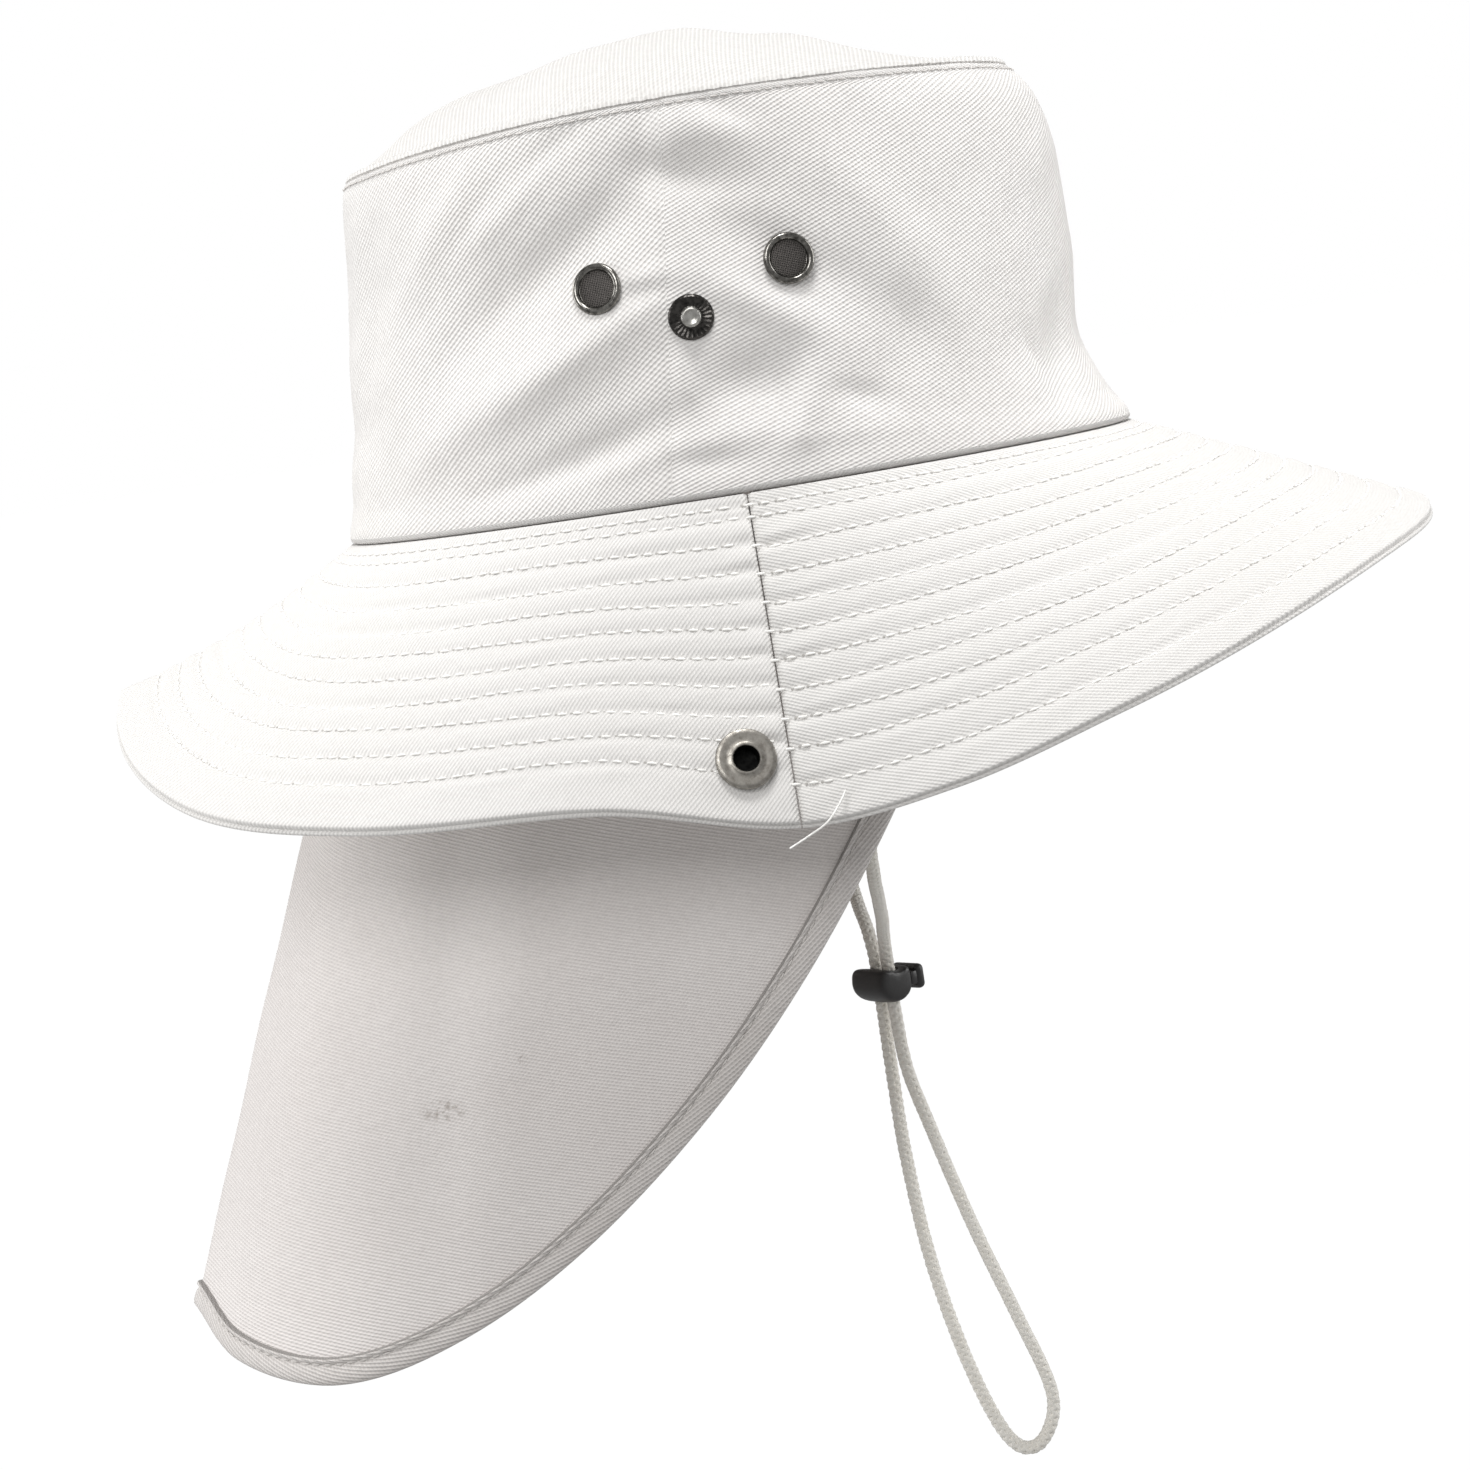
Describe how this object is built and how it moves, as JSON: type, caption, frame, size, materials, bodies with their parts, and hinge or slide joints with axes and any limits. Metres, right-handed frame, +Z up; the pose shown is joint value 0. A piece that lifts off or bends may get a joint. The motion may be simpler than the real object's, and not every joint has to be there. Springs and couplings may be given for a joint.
{
  "type": "flap sun hat",
  "caption": "Cotton twill sun hat with a domed crown, a stitched wide brim that snaps up at the sides, vents, a neck flap bound with tape and a chin cord with a lock.",
  "frame": {"origin": "centre of the head opening, level with the seam between crown and brim", "axes": "+X to the front of the hat, +Y to the wearer's left, +Z up the crown"},
  "size_m": [0.3547, 0.2328, 0.3845],
  "materials": {
    "crown_twill": "off-white cotton twill",
    "brim_twill": "off-white cotton twill, quilted by rows of stitching",
    "flap_twill": "warm grey-white cotton twill",
    "tape": "folded twill tape",
    "nickel": "aged nickel plate",
    "cord": "braided cotton",
    "black_plastic": "satin black plastic"
  },
  "bodies": {
    "hat": {"crown_side": "crown_twill", "crown_tip": "crown_twill", "brim_front": "brim_twill", "brim_back": "brim_twill", "flap": "flap_twill", "flap_binding": "tape", "vent_right_front": "nickel", "vent_right_back": "nickel", "vent_left_front": "nickel", "vent_left_back": "nickel", "snap_stud_right": "nickel", "snap_stud_left": "nickel", "snap_socket_right": "nickel", "snap_socket_left": "nickel", "chin_cord": "cord", "cord_lock_body": "black_plastic"},
    "plunger": {"cord_lock_plunger": "black_plastic"}
  },
  "joints": [
    {"name": "plunger_press", "type": "slide", "parent": "hat", "child": "plunger", "axis": [-0.788, -0.6157, 0], "range_m": [0, 0.002], "stiffness_N_per_m": 400}
  ]
}
